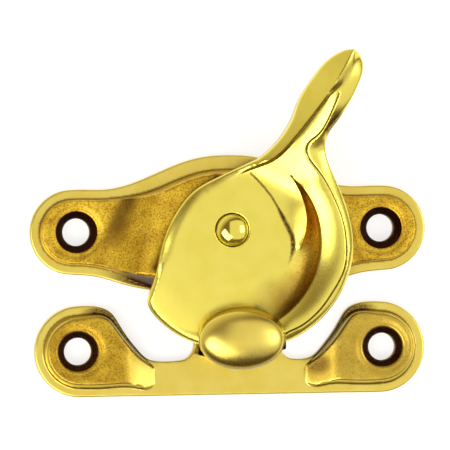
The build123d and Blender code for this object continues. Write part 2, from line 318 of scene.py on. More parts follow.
def base_finish(spots):
    """Painted shade on the body's walls and ramps, beside the cam and in the screw holes, and how
    far the raised body is left as cast.
    """
    depth, wall = base_walls(spots)
    x, y = spots.T
    across = np.abs(x) + 0.43 * y
    shadow = step_up(-y, 3, 6) * (1 - step_up(np.abs(x), 14.5, 22))
    strength = 0.3 + 0.7 * step_up(y, -3.5, 1.5)
    painted_shades = [
        # painted shade along the foot of the wall
        0.7 * hump(wall, -0.7, 0.2, 0.8, 2.6),
        # painted shade on the wall on the keep's side
        shadow * (1 - step_up(wall, 5.6, 7.2)) * step_up(depth, 0.1, 0.4),
        # painted shade along the foot of the ramps, slantwise
        0.75 * strength * hump(across, 16.2, 18.6, 19.4, 21.2) * step_up(wall, 3, 6),
        # painted shadow of the cam's edge on the platform beside it
        0.9 * near(distance(spots, np.array(CAM_SHADOW_LINE)), 0.8) * step_up(wall, 5, 7),
    ]
    dark = np.max(painted_shades, axis=0)
    # painted shade in the screw holes' cones up to their lips, and a faint ring of it in each dish
    for centre in base_screws:
        reach = np.hypot(*(spots - centre).T)
        cone = 1.1 - 0.95 * step_up(reach, *BASE_SINK_LIP)
        dark = np.where(reach < SINK_R + 0.02, cone, dark)
        dish = np.clip(1 - np.abs(reach - SINK_R - 0.9) / 0.4, 0, 1)
        dark = np.maximum(dark, 0.3 * dish)
    return dark, step_up(wall, 0.0, 3.0)


def sink_creases(screws, lip):
    """Closed lines round the screw holes' lips."""
    rings = [ring(centre, radius) for centre in screws for radius in (*lip, SINK_R)]
    return [np.vstack((line, line[:1])) for line in rings]


foot, head = wall_reach(base_line)
base_dots = [inset(base_line, depth) for depth in (*EDGE_RINGS, 0.5)]
base_dots += [inset(base_line, foot + (head - foot) * share) for share in WALL_ROWS]
base_dots += [ring(centre, SINK_R + gap) for centre in base_screws for gap in SINK_RINGS]
base_plate = casting(
    "base_plate_casting",
    base_line,
    [ring((0, 0), BORE_R)] + [ring(centre, HOLE_R) for centre in base_screws],
    sink_creases(base_screws, BASE_SINK_LIP),
    base_dots,
    base_top,
    base_under,
    base_finish,
)


def linear(colour):
    """Scene colour of an sRGB hex value."""
    parts = [int(colour[i : i + 2], 16) / 255 for i in (1, 3, 5)]
    return *[c / 12.92 if c <= 0.04045 else ((c + 0.055) / 1.055) ** 2.4 for c in parts], 1


def add_node(tree, kind, settings=(), inputs=()):
    """Adds a node with its settings, and sets or links its inputs."""
    node = tree.nodes.new(kind)
    for key, value in dict(settings).items():
        setattr(node, key, value)
    for key, value in dict(inputs).items():
        if isinstance(value, bpy.types.NodeSocket):
            tree.links.new(value, node.inputs[key])
        else:
            node.inputs[key].default_value = value
    return node


def empty_material(name):
    """A material with nothing in its tree but the output."""
    material = bpy.data.materials.new(name)
    material.use_nodes = True
    tree = material.node_tree
    tree.nodes.clear()
    return material, tree, add_node(tree, "ShaderNodeOutputMaterial")


def shades(tree, factor, *stops):
    """Colour ramp over a factor: (place, sRGB hex) for each stop."""
    node = add_node(tree, "ShaderNodeValToRGB", inputs={"Fac": factor})
    bar = node.color_ramp
    while len(bar.elements) < len(stops):
        bar.elements.new(0.5)
    for element, (place, colour) in zip(bar.elements, stops):
        element.position, element.color = place, linear(colour)
    return node.outputs["Color"]


def yellow_brass(name, smooth_gold, cast_gold, roughness):
    """Polished brass that turns to its as-cast skin where a piece's mesh says so.

    The cast skin has sand grain about 0.3 mm across, with tarnish in its pits, and
    runs rougher and redder than the polished face. Its colour drifts in patches of
    about 3 mm. Where a piece's mesh marks tarnish and painted shade, it turns a
    brown that is nearly black: mostly painted shade in corners, creases and hollows
    and on faces that would mirror a dark room, with some real tarnish.
    """
    material, tree, output = empty_material(name)
    place = add_node(tree, "ShaderNodeTexCoord").outputs["Object"]
    grain = add_node(
        tree,
        "ShaderNodeTexNoise",
        inputs={"Vector": place, "Scale": 3600, "Detail": 3, "Roughness": 0.6},
    ).outputs["Fac"]
    patch = add_node(
        tree, "ShaderNodeTexNoise", inputs={"Vector": place, "Scale": 300, "Detail": 3}
    ).outputs["Fac"]
    as_cast = add_node(tree, "ShaderNodeAttribute", {"attribute_name": "as_cast"}).outputs["Fac"]
    tarnish_and_shade = add_node(tree, "ShaderNodeAttribute", {"attribute_name": "tarnish_and_shade"}).outputs["Fac"]
    polished = shades(tree, patch, (0.35, smooth_gold[0]), (0.65, smooth_gold[1]))
    skin = shades(tree, patch, (0.35, cast_gold[0]), (0.65, cast_gold[1]))
    pits = shades(tree, grain, (0.38, "#7A5A28"), (0.52, "#FFFFFF"))
    skin = add_node(
        tree,
        "ShaderNodeMix",
        {"data_type": "RGBA", "blend_type": "MULTIPLY"},
        {0: 0.6, 6: skin, 7: pits},
    ).outputs[2]
    gold = add_node(
        tree, "ShaderNodeMix", {"data_type": "RGBA"}, {0: as_cast, 6: polished, 7: skin}
    ).outputs[2]
    uneven = add_node(
        tree, "ShaderNodeMath", {"operation": "MULTIPLY_ADD"}, {0: grain, 1: 1.4, 2: 0.3}
    ).outputs[0]
    # the mesh's tarnish mark broken up by the grain: mostly painted shade, with some real tarnish
    tarnish_and_shade_mix = add_node(
        tree,
        "ShaderNodeMath",
        {"operation": "MULTIPLY", "use_clamp": True},
        {0: tarnish_and_shade, 1: uneven},
    ).outputs[0]
    # painted shade: the brass mixes towards a brown that is nearly black
    gold = add_node(
        tree, "ShaderNodeMix", {"data_type": "RGBA"}, {0: tarnish_and_shade_mix, 6: gold, 7: linear("#482414")}
    ).outputs[2]
    depth = add_node(
        tree, "ShaderNodeMath", {"operation": "MULTIPLY_ADD"}, {0: as_cast, 1: 0.5, 2: 0.05}
    ).outputs[0]
    relief = add_node(
        tree, "ShaderNodeBump", inputs={"Height": grain, "Strength": depth, "Distance": 0.05 * MM}
    ).outputs["Normal"]
    dull = add_node(
        tree, "ShaderNodeMath", {"operation": "MULTIPLY_ADD"}, {0: as_cast, 1: 0.12, 2: roughness}
    ).outputs[0]
    brass = add_node(
        tree,
        "ShaderNodeBsdfPrincipled",
        inputs={"Base Color": gold, "Metallic": 1.0, "Roughness": dull, "Normal": relief},
    )
    tree.links.new(brass.outputs[0], output.inputs["Surface"])
    return material


# Cast brass under a thin lacquer: a rich yellow where it is filed smooth, and orange
# gold where the sand has left its skin.
cast_brass = yellow_brass(
    "cast_yellow_brass", ("#EAD76A", "#E5CF5C"), ("#EBC840", "#CAA230"), 0.28
)
base_plate.data.materials.append(cast_brass)
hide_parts("base_plate")
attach(base_plate, "fixed")


# Cam and lever.
# One casting in yellow brass, ground and polished all over but in the channel that
# the keep's lip runs in. A rim along its working edge winds away from the pivot and
# draws the keep in, and a leaf-shaped lever with a sharp ridge grows out of its neck.

LEVER_ANGLE = math.radians(56.35)
CAM_NET = 0.22
CAM_UNDER = 7.1
CAM_FACE = 9.6
RIM_H = 5.1
RIM_FOOT_ROUND = 1.3
SPIRAL_R = 12.45
SPIRAL_GROWTH = 0.0325
CHANNEL_LIFT = 0.6
HOLLOW_DIP = 1.1
GROOVE_R = 2.66
CAM_EDGE_ROUND = 0.3
LEVER_EDGE_ROUND = 0.22
# Radii of rings of net points over the fine groove round the rivet's head, which carries painted
# shade
HEAD_ROWS = (2.56, 2.66, 2.76, 2.86)
# Gaps of lines of net points on both sides of the sharp crease
CREASE_ROWS = (-0.24, -0.1, 0.1, 0.24)
# Degrees clockwise from the lever between which the channel and the rim run
CHANNEL_TURN = (14, 178)
RIM_TURN = (1, 158)
# Outline of the lever, as distance along its own line and left of it
LEVER_LINE = (
    (11.8, 2.83), (14.2, 2.03), (16.0, 1.7), (18.3, 1.6), (20.9, 1.9), (22.4, 2.3),
    (25.3, 2.66), (28.07, 2.62), (30.8, 2.32), (33.2, 1.4), (34.65, 0.2), (35.0, -0.8),
    (34.65, -2.0), (33.6, -3.1), (30.9, -4.03), (27.3, -4.5), (23.6, -4.53), (21.4, -4.49),
    (20.3, -4.8), (19.1, -5.49), (17.9, -6.7), (16.88, -8.05),
)
# Edge of the cam's plate, by degrees clockwise from the lever and radius
CAM_EDGE = (
    (25.5, 18.7), (46.0, 18.9), (64.0, 19.8), (85.0, 20.3), (110.0, 20.3), (130.0, 19.9),
    (150.0, 19.4), (166.0, 19.3), (187.0, 18.8), (196.5, 18.0), (201.0, 16.4), (208.2, 14.1),
    (228.2, 11.3), (254.2, 9.5), (285.0, 8.8), (310.0, 8.8), (346.4, 12.14),
)
# Ridge down the lever, from its tip into the face
RIDGE = (
    (34.3, -0.3), (31.8, -0.62), (29.5, -0.72), (26.3, -0.6), (22.5, -0.4), (18, 0.0),
    (15.5, 0.3), (13, 1.1), (10.2, 3.02), (8, 4.4), (5, 6.0), (2, 7.2),
)
# Places along the lever, with heights of its left edge and its ridge
LEVER_RISE = (
    (2, 1.9, 2.4), (8, 2.1, 2.6), (13, 3.0, 4.4), (18, 4.5, 6.2), (22.5, 5.6, 7.5), (27, 6.5, 8.6),
    (31.5, 7.3, 9.2), (36, 7.4, 9.0),
)
# Width of the hollow between the ridge and the crease, along the lever
HOLLOW_WIDTH = (
    (13, 6.5), (16, 4.6), (18, 2.9), (20, 2.85), (22.5, 2.75), (25, 2.2), (28, 1.5), (31, 1.0),
)
# Height of the lever's underside over the cam's, along it
LEVER_UNDER = ((13, 0), (18, 0.9), (22.5, 2.5), (27, 3.9), (31.5, 4.9), (36, 5.3))
# Sharp line that parts the lever's hollow and the rim's crown from the outer bevel
OUTER_CREASE = (
    (27.7, -2.23), (25.9, -2.61), (23.6, -3.02), (21.6, -3.24), (20.1, -3.05), (18.6, -2.6),
    (17.4, -2.82), (16.3, -4.24), (15.7, -6.06), (14.7, -8.5), (13.2, -11.1), (10.8, -14.3),
    (7.9, -16.8), (4.25, -18.65), (0.4, -19.0), (-2.7, -18.9), (-5.5, -18.3), (-7.6, -17.4),
    (-9.4, -16.3), (-11.5, -15.6), (-14.5, -13.2), (-17.2, -9.6),
)
# Fold that takes that line on to the lever's tip
TIP_FOLD = ((34.8, -0.6), (33.2, -1.2), (31.2, -1.75), (29.4, -2.05))
# Box that takes in all that lies right of the fold
BEYOND_FOLD = ((-40, -12), (-40, -60), (60, -60), (60, -0.6))
# Step left where the face was ground back, from the lever's foot round to the mouth
GROUND_STEP = ((-15, 9.7), (10, 8.5), (33, 8.3), (53, 9.0), (65, 9.9), (85, 10.6), (105, 11.2))
# Degrees round the rim, with its height over the underside
RIM_COURSE = (
    (0, 3.5), (12, 4.3), (25.5, 4.95), (46, RIM_H), (110, RIM_H), (130, 4.8), (150, 2.6),
    (158, 1.8),
)
# Degrees round the channel, radius of its inner border, and its floor below the face
CHANNEL_COURSE = (
    (14, 12.8, 0.0), (32, 12.5, 0.9), (56, 12.0, 1.2), (88, 10.4, 1.3), (120, 8.7, 0.9),
    (150, 8.0, 0.2), (178, 8.0, 0.0),
)


def on_cam(turn, reach):
    """Point beside the lever's own line, by degrees clockwise from it and radius."""
    return reach * math.cos(math.radians(turn)), -reach * math.sin(math.radians(turn))


def as_placed(points):
    """Points beside the lever's line, in the fastener's own frame."""
    c, s = math.cos(LEVER_ANGLE), math.sin(LEVER_ANGLE)
    u, v = np.asarray(points, float).T
    return np.column_stack((u * c - v * s, u * s + v * c))


def as_drawn(spots):
    """Spots in the fastener's frame, as distance along and left of the lever's line."""
    c, s = math.cos(LEVER_ANGLE), math.sin(LEVER_ANGLE)
    return spots[:, 0] * c + spots[:, 1] * s, -spots[:, 0] * s + spots[:, 1] * c


def polar(spots):
    """Degrees clockwise from the lever, and radius."""
    u, v = as_drawn(spots)
    return np.degrees(np.arctan2(-v, u)) % 360, np.hypot(u, v)


def winding(turn):
    """Radius of the rim's inner wall."""
    return SPIRAL_R + SPIRAL_GROWTH * turn


def course(table, column, turn):
    """A value of a table, read smoothly between the places in its first column."""
    table = np.array(table)
    return smooth(table[:, 0], table[:, column], turn)


def beside(line, gap):
    """Points beside an open line, at a gap left of it."""
    along = np.gradient(line, axis=0)
    return line + gap * np.column_stack((-along[:, 1], along[:, 0])) / np.hypot(*along.T)[:, None]


lever_part = flowing(LEVER_LINE)[::-1]
edge_part = flowing([on_cam(*spot) for spot in CAM_EDGE])[::-1]
cam_line = as_placed(np.vstack((lever_part[:-1], edge_part[:-1])))
ridge_line = as_placed(flowing(RIDGE))
crease_line = as_placed(flowing(OUTER_CREASE))
step_line = as_placed(flowing([on_cam(*spot) for spot in GROUND_STEP]))
fold_line = as_placed(flowing([*TIP_FOLD, *OUTER_CREASE]))
past_fold = np.vstack((fold_line, as_placed(BEYOND_FOLD)))
crease_sides = [beside(crease_line, gap) for gap in CREASE_ROWS]
turns = np.arange(CHANNEL_TURN[0], 156, 0.8)
wall_lines = [
    as_placed([on_cam(turn, winding(turn) + gap) for turn in turns]) for gap in (-0.03, 0.03)
]
borders = course(CHANNEL_COURSE, 1, turns)
border_line = as_placed([on_cam(*spot) for spot in zip(turns[4:125], borders[4:125])])


def right_of_ridge(spots):
    """How far right of the lever's ridge a spot lies."""
    u, v = as_drawn(spots)
    ridge = np.array(RIDGE)[::-1]
    return smooth(ridge[:, 0], ridge[:, 1], u) - v


def channel_at(turn, reach):
    """The channel's inner border, the share of the way across, and whether within it."""
    wall = winding(turn)
    border = course(CHANNEL_COURSE, 1, turn)
    share = np.clip((reach - border) / (wall - border), 0, 1)
    first, last = CHANNEL_TURN
    return border, share, (turn > first) & (turn < last) & (reach > border) & (reach <= wall)


def lever_faces(spots):
    """Heights over the cam's underside: the lever's left flank, and right of its ridge."""
    u, _ = as_drawn(spots)
    left_h, crest_h = course(LEVER_RISE, 1, u), course(LEVER_RISE, 2, u)
    right = right_of_ridge(spots)
    flank = crest_h + (crest_h - left_h) * right / 3.0
    right = np.clip(right, 0, None)
    tip = step_up(u, 26.0, 30.0)
    drop = (0.5 + 0.1 * tip) * step_up(right, -0.05, 0.5 + tip)
    outer_fall = 0.35 * step_up(u, 17, 22) * np.clip(right - 3.6, 0, None)
    share = np.clip(right / course(HOLLOW_WIDTH, 1, u), 0, 1)
    dip = HOLLOW_DIP * share * (1 - share) * hump(u, 15, 19, 24, 28)
    return flank, crest_h - drop - 0.05 * right - outer_fall - dip


def cam_top(spots):
    """Height of the cam's and lever's upper faces."""
    u, v = as_drawn(spots)
    turn, reach = polar(spots)
    swing = (turn + 180) % 360 - 180
    depth = distance(spots, cam_line, closed=True)
    crease = distance(spots, crease_line)
    fold = distance(spots, fold_line)
    beyond = inside(spots, past_fold)
    wall = winding(turn)
    border, share, channel = channel_at(turn, reach)
    # the face: level, but swept up towards the channel and falling away at the lower left
    step = course(GROUND_STEP, 1, swing)
    lift = CHANNEL_LIFT * hump(swing, 5, 45, 55, 88)
    rise = np.clip((reach - step) / np.maximum(border - step, 1.2), 0, 1)
    low_left = np.clip(-0.75 * spots[:, 0] - 0.66 * spots[:, 1], 0, None)
    face = CAM_FACE + lift * rise**1.6 - 0.0035 * low_left**2
    # the lever's foot grows out of it
    flank, hollow = lever_faces(spots)
    heights = np.where(u > 3, higher_of(face, CAM_UNDER + hollow, 0.9), face)
    flank = np.minimum(heights, higher_of(CAM_UNDER + flank, face, 0.3))
    heights = np.where((u > 3) & (v > -4), flank, heights)
    # the channel starts where the sweep does, and is a flatter trough further round
    floor = course(CHANNEL_COURSE, 2, turn) * share ** (0.5 + step_up(turn, 60, 100))
    swept = step_up(turn, CHANNEL_TURN[0], 34) * lift * (1 - (1 - share) ** 2)
    heights = np.where(channel, heights - swept - floor, heights)
    # the rim, whose crown leans to the crease and starts low at the neck
    across = np.where(beyond, 1, (reach - wall) / (np.abs(reach - wall) + fold + 1e-6))
    crown = course(RIM_COURSE, 1, turn) - 0.9 * (1 - across) ** 1.6 - 0.1 * across**2
    rim = CAM_UNDER + crown - 1.6 * (1 - across) * (1 - step_up(turn, 5, 30))
    on_rim = (turn > RIM_TURN[0]) & (turn < RIM_TURN[1]) & (reach > wall)
    heights = np.where(on_rim, higher_of(heights, rim, RIM_FOOT_ROUND), heights)
    # the outer bevel, with a groove along the crease
    bevel = np.where(beyond, 0.8 * (fold / (fold + depth + 1e-6)) ** 1.5, 0)
    heights = heights - bevel - 0.16 * near(crease, 0.12)
    # the face's own edge: a worn lip at the lower left, and softened up the left side
    lip = 0.35 * hump(turn, 146, 153, 203, 213) * np.clip(1 - depth / 0.75, 0, 1) ** 1.2
    soft = 0.35 * hump(turn, 205, 225, 300, 330) * np.clip(1 - depth / 2.0, 0, 1) ** 2
    groove = 0.14 * near(reach - GROOVE_R, 0.1)
    edge = np.where(u > 14, LEVER_EDGE_ROUND, CAM_EDGE_ROUND)
    return heights - lip - soft - groove - rounding(depth, edge)


def cam_under(spots):
    """Height of the underside, which rises under the lever."""
    u, _ = as_drawn(spots)
    return CAM_UNDER + np.where(u > 13, course(LEVER_UNDER, 1, u), 0)


def cam_finish(spots):
    """Painted shade in the channel, creases and grooves, along the ground step and on the lever
    and bevel; only the channel is left as cast.
    """
    u, _ = as_drawn(spots)
    turn, reach = polar(spots)
    depth = distance(spots, cam_line, closed=True)
    crease = distance(spots, crease_line)
    step = distance(spots, step_line)
    right = right_of_ridge(spots)
    wall = winding(turn)
    _, share, channel = channel_at(turn, reach)
    border = step_up(share, 0.0, 0.2 + 0.7 * step_up(turn, 60, 100))
    as_cast = np.where(channel, border * (1 - step_up(turn, 105, 145)), 0)
    deep = 0.3 * step_up(turn, 45, 90) + 0.34 * step_up(turn, 85, 112)
    step_width = 0.14 + 0.16 * hump(turn, 28, 45, 70, 85)
    step_end = 1 - step_up((turn + 180) % 360 - 180, 76, 92)
    low = np.hypot((spots[:, 0] - 6.6) / 3.2, (spots[:, 1] + 10.2) / 2.6)
    bevel = inside(spots, past_fold) & (u > 18)
    painted_shades = [
        # painted shade in the channel, darker towards its mouth
        as_cast * deep * step_up(share, 0.0, 0.4),
        # painted shade in the crease and at the foot of the rim's wall, and a painted dark
        # reflection along the ground step
        0.95 * near(crease, 0.13),
        0.95 * step_end * (1 - step_up(step, 0.4 * step_width, 1.9 * step_width)),
        0.5 * near(reach - wall, 0.12) * (turn > 14) * (turn < 150),
        # a patch of painted shade on the face near the channel's mouth
        0.22 * (1 - step_up(low, 0.3, 1.3)) * (reach < wall),
        # painted shadow right under the lever's ridge, and a wider patch of painted shade near its
        # tip
        0.5 * hump(right, 0, 0.1, 0.45, 0.7) * hump(u, 8, 11, 28, 33),
        0.3 * hump(right, 0, 0.1, 0.6, 1.7) * hump(u, 26.5, 28.5, 31.5, 34),
        # painted shade on the narrow part of the outer bevel
        bevel * 0.75 * hump(u, 20.5, 21.8, 24.5, 26.5) * step_up(crease, 0, 0.2),
        # painted shade inside the worn lip at the lower left, and in the groove round the rivet's
        # head
        0.6 * near(depth - 0.78, 0.12) * (turn > 148) * (turn < 212),
        0.95 * near(reach - 2.63, 0.12),
    ]
    return np.max(painted_shades, axis=0), as_cast


cam_dots = [inset(cam_line, depth) for depth in (*EDGE_RINGS, 0.45, 0.78, 1.0)]
cam_dots += [ridge_line, step_line, border_line, *crease_sides]
cam_dots += [ring((0, 0), radius) for radius in HEAD_ROWS]
cam_lever = casting(
    "cam_lever_casting",
    cam_line,
    [ring((0, 0), BORE_R)],
    [*wall_lines, crease_line],
    cam_dots,
    cam_top,
    cam_under,
    cam_finish,
    net=CAM_NET,
)

# Polished yellow brass: buffed to a soft mirror, paler and greener than the rough
# casting, and as cast only down in the channel.
polished_brass = yellow_brass(
    "polished_yellow_brass", ("#F4E76E", "#EFE162"), ("#F4D05A", "#E0B23E"), 0.24
)
cam_lever.data.materials.append(polished_brass)
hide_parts("cam_lever")
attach(cam_lever, "cam")


# Keep.
# The fastener's other half, a sand casting in the same brass, screwed to the outer
# sash's rail: a flat bar, two raised pads for its screws, and a domed hook on a post.
# The hook overhangs the cam's rim, and its lip hangs in the channel behind the rim.

BAR_T = 2.0
PAD_H = 4.0
BACK_Y = -27.0
KEEP_EAR_X = 24.6
KEEP_EAR_R = 7.45
KEEP_SCREW_Y = -19.5
FRONT_Y = -21.3
TONGUE_TIP = -15.6
PAD_RAMP_X = 17.2
PAD_END_X = 12.4
PAD_INSET = 1.5
PAD_TOP_ROUND = 0.8
RAMP_END_ROUND = 0.45
KEEP_FOOT_ROUND = 0.1
KEEP_SINK_LIP = (3.2, 3.3)
# Depths in from a pad's foot where the net has rows of points
PAD_ROWS = (-0.12, 0.12, 0.3, 0.5, 0.75)
HOOK = np.array((1.1, -17.55))
HOOK_HALF = np.array((7.1, 5.1))
HOOK_UNDER = 12.5
HOOK_TOP = np.array((0.9, -17.75))
DOME_HALF = np.array((6.95, 4.8))
DOME_FOOT = 13.33
DOME_H = 2.2
POST_REACH = 21.0
LIP_IN_R, LIP_OUT_R = 12.7, 14.7
LIP_SPREAD = 16
LIP_TIP = 9.92

ear_y = BACK_Y + KEEP_EAR_R
half = [(4, BACK_Y), (8, BACK_Y), (14, BACK_Y), (20, BACK_Y)]
half += [tuple(p) for p in arc((KEEP_EAR_X, ear_y), KEEP_EAR_R, -90, 90, spacing=1.5)]
half += [(21.8, -12.2), (19.6, -13.1), (18.2, -15.0), (17.1, -16.8), (15.2, -19.3)]
half += [(13.3, -21.0), (12.0, FRONT_Y), (10.9, FRONT_Y)]
# the tongue under the hook, from its right foot to its left one
tongue = [(9.6, FRONT_Y + 0.25), (8.5, FRONT_Y + 1.3), (8.1, -18.5), (8.1, -17.3), (7.2, -16.0)]
tongue += [(5.5, TONGUE_TIP), (1.1, TONGUE_TIP), (-3.3, TONGUE_TIP), (-5.0, -16.0)]
tongue += [(-5.9, -17.3), (-5.9, -18.5), (-6.3, FRONT_Y + 1.3), (-7.4, FRONT_Y + 0.25)]
left_half = [(-8.7, FRONT_Y)] + [(-x, y) for x, y in half[-2::-1]]
keep_line = flowing([(0, BACK_Y), *half, *tongue, *left_half], closed=True)
keep_line[:, 1] = np.maximum(keep_line[:, 1], BACK_Y)
pad_points = [(x, BACK_Y + PAD_INSET) for x in (12.8, 16, 20)]
pad_r = KEEP_EAR_R - PAD_INSET
pad_points += [tuple(p) for p in arc((KEEP_EAR_X, ear_y), pad_r, -90, 90, spacing=1.5)]
pad_points += [(22.2, -13.3), (20.15, -13.75), (18.6, -15.35), (17.3, -17.2), (15.3, -19.65)]
pad_points += [(13.4, -21.5), (12.2, -22.6), (12.1, -24.4)]
pad_line = flowing(pad_points, closed=True)
keep_screws = [np.array((side * SCREW_SPACING / 2, KEEP_SCREW_Y)) for side in (-1, 1)]


def pad_depth(spots):
    """How far a spot lies inside the nearer pad's foot, or outside it if negative."""
    folded = np.column_stack((np.abs(spots[:, 0]), spots[:, 1]))
    depth = distance(folded, pad_line, closed=True)
    return np.where(inside(folded, pad_line), depth, -depth)


def keep_top(spots):
    """Height of the keep's bar and pads."""
    depth = pad_depth(spots)
    rise = PAD_H - BAR_T
    ramp = rise / (PAD_RAMP_X - PAD_END_X) * (np.abs(spots[:, 0]) - PAD_END_X)
    crown = lower_of(ramp, rise, RAMP_END_ROUND)
    pad = BAR_T + lower_of(4.0 * depth + 0.1, crown, PAD_TOP_ROUND)
    heights = higher_of(pad, BAR_T, KEEP_FOOT_ROUND)
    heights = heights - rounding(distance(spots, keep_line, closed=True), EDGE_ROUND)
    return sunk(heights, spots, keep_screws, PAD_H)


def keep_finish(spots):
    """Painted shade at the pads' feet, in the right pad's inner corner and in the screw holes, a
    duller tone on the pads, and how far the pads are left as cast.
    """
    depth = pad_depth(spots)
    x, y = spots.T
    room_side = step_up(y, -22.5, -20) * (1 - step_up(np.abs(x), 22, 25))
    corner = np.hypot((x - 14.2) / 3.0, (y + 22.2) / 2.6)
    painted_shades = [
        # painted shade along the pads' feet, and more on the side of the tongue
        0.6 * near(depth + 0.08, 0.14) * step_up(np.abs(x), 12.5, 14.5),
        0.8 * room_side * hump(depth, -1.2, -0.6, 0.1, 0.7),
        # painted shade in the inner corner of the right pad
        0.75 * (1 - step_up(corner, 0.3, 1.2)) * step_up(depth, -0.1, 0.3),
    ]
    dark = np.max(painted_shades, axis=0)
    # painted shade in the screw holes' cones, up to their lips
    for centre in keep_screws:
        reach = np.hypot(*(spots - centre).T)
        cone = 1.0 - 0.9 * step_up(reach, *KEEP_SINK_LIP)
        dark = np.where(reach < SINK_R + 0.02, cone, dark)
    # the left pad's ramp is worn smooth, and its lighter polished colour also stands in for a
    # painted highlight; the right pad is worn all over a little
    worn_and_highlight = np.where(x < 0, 0.9 * (1 - step_up(-x, 14.5, 18)), 0.35)
    as_cast = step_up(depth, 0.2, 1.0) * (1 - worn_and_highlight)
    return np.maximum(dark, 0.26 * step_up(depth, 0.1, 0.6)), as_cast


keep_dots = [inset(keep_line, depth) for depth in (*EDGE_RINGS, 0.45)]
for side in (1, -1):
    mirrored = pad_line * (side, 1)
    keep_dots += [mirrored] + [inset(mirrored[::side], depth) for depth in PAD_ROWS]
keep_dots += [ring(centre, SINK_R + gap) for centre in keep_screws for gap in SINK_RINGS]
keep_bar = casting(
    "keep_bar_casting",
    keep_line,
    [ring(centre, HOLE_R) for centre in keep_screws],
    sink_creases(keep_screws, KEEP_SINK_LIP),
    keep_dots,
    keep_top,
    lambda spots: np.zeros(len(spots)),
    keep_finish,
)
keep_bar.data.materials.append(cast_brass)
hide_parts("keep_plate")
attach(keep_bar, "fixed")


def stacked(name, levels, material):
    """Closed mesh through level loops of equal length, from the lowest to the highest."""
    count = len(levels[0][1])
    points = [(x, y, z) for z, loop in levels for x, y in loop]
    sides = []
    for level in range(len(levels) - 1):
        for i in range(count):
            a, b = level * count + i, level * count + (i + 1) % count
            sides.append((a, b, b + count, a + count))
    last = (len(levels) - 1) * count
    points += [(*loop.mean(axis=0), z) for z, loop in (levels[0], levels[-1])]
    for i in range(count):
        sides.append(((i + 1) % count, i, len(points) - 2))
        sides.append((last + i, last + (i + 1) % count, len(points) - 1))
    mesh = bpy.data.meshes.new(name)
    mesh.from_pydata(np.array(points) * MM, [], sides)
    mesh.shade_smooth()
    mesh.set_sharp_from_angle(angle=SHARP)
    mesh.materials.append(material)
    piece = bpy.data.objects.new(name, mesh)
    bpy.context.scene.collection.objects.link(piece)
    return piece


def oval(centre, half, count=240):
    """Oval of the hook about a centre, by its half width and half depth."""
    turn = np.radians(np.arange(count) * 360 / count)
    return centre + half * np.column_stack((np.cos(turn), np.sin(turn)))


# the post is the hook's oval, with its room side cut back to clear the cam's edge
post = oval(HOOK, HOOK_HALF)
cut = np.hypot(*post.T) < POST_REACH
post[cut, 1] = -np.sqrt(np.maximum(POST_REACH**2 - post[cut, 0] ** 2, 0))
head_foot = oval(HOOK, HOOK_HALF)
levels = [(0.3, post), (HOOK_UNDER, post), (HOOK_UNDER, head_foot), (HOOK_UNDER + 0.1, head_foot)]
levels.append((DOME_FOOT - 0.03, oval(HOOK_TOP, DOME_HALF + 0.05)))
for lift in np.linspace(0.06, 0.99, 20):
    spread = (1 - lift**2.2) ** 0.5
    levels.append((DOME_FOOT + DOME_H * lift, oval(HOOK_TOP, DOME_HALF * spread)))
keep_hook = stacked("keep_hook", levels, cast_brass)
# painted shade: the hook is browner on its side away from the room, a painted dark reflection, and
# under its room-side brow
_, y, z = np.array([tuple(v.co) for v in keep_hook.data.vertices]).T / MM
away = 0.6 * step_up(-17.9 - y, 0.2, 3.2) * step_up(z, 12.6, 13.4)
brow = 0.6 * step_up(y, -13.9, -13.2) * (1 - step_up(z, 13.0, 13.3))
layer = keep_hook.data.attributes.new("tarnish_and_shade", "FLOAT", "POINT")
layer.data.foreach_set("value", np.maximum(away, brow).astype(np.float32))
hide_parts("keep_plate")
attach(keep_hook, "fixed")

# the lip hangs from the hook's underside over the channel, and stays inside its oval:
# entry is the radius at which a ray from the pivot enters that oval
rays = np.radians(np.linspace(-90 - LIP_SPREAD, -90 + LIP_SPREAD, 49))
rays = np.column_stack((np.cos(rays), np.sin(rays)))
toward, middle = rays / HOOK_HALF, HOOK / HOOK_HALF
along = toward @ middle
size = (toward**2).sum(axis=1)
entry = (along - np.sqrt(along**2 - size * (middle @ middle - 1))) / size
inner = np.maximum(LIP_IN_R, entry + 0.02)[:, None]
lip = np.vstack((LIP_OUT_R * rays, (inner * rays)[::-1]))
tip = lip.mean(axis=0) + 0.92 * (lip - lip.mean(axis=0))
levels = [(LIP_TIP, tip), (LIP_TIP + 0.2, lip), (HOOK_UNDER + 0.1, lip)]
keep_lip = stacked("keep_lip", levels, cast_brass)
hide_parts("keep_plate")
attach(keep_lip, "fixed")


# Rivet.
# A turned brass rivet holds the cam on the base plate: a domed head, a plain shank and a
# tail that is spread over a washer. One Geometry Nodes tree spins the profiles of the
# rivet and of the two washers round the pivot.

HEAD_R = 2.55
HEAD_Z = 9.63
HEAD_WALL = 0.3
DOME_RISE = 1.19
SHANK_R = 2.0
TAIL_Z = 3.11
STEPS_ROUND = 96


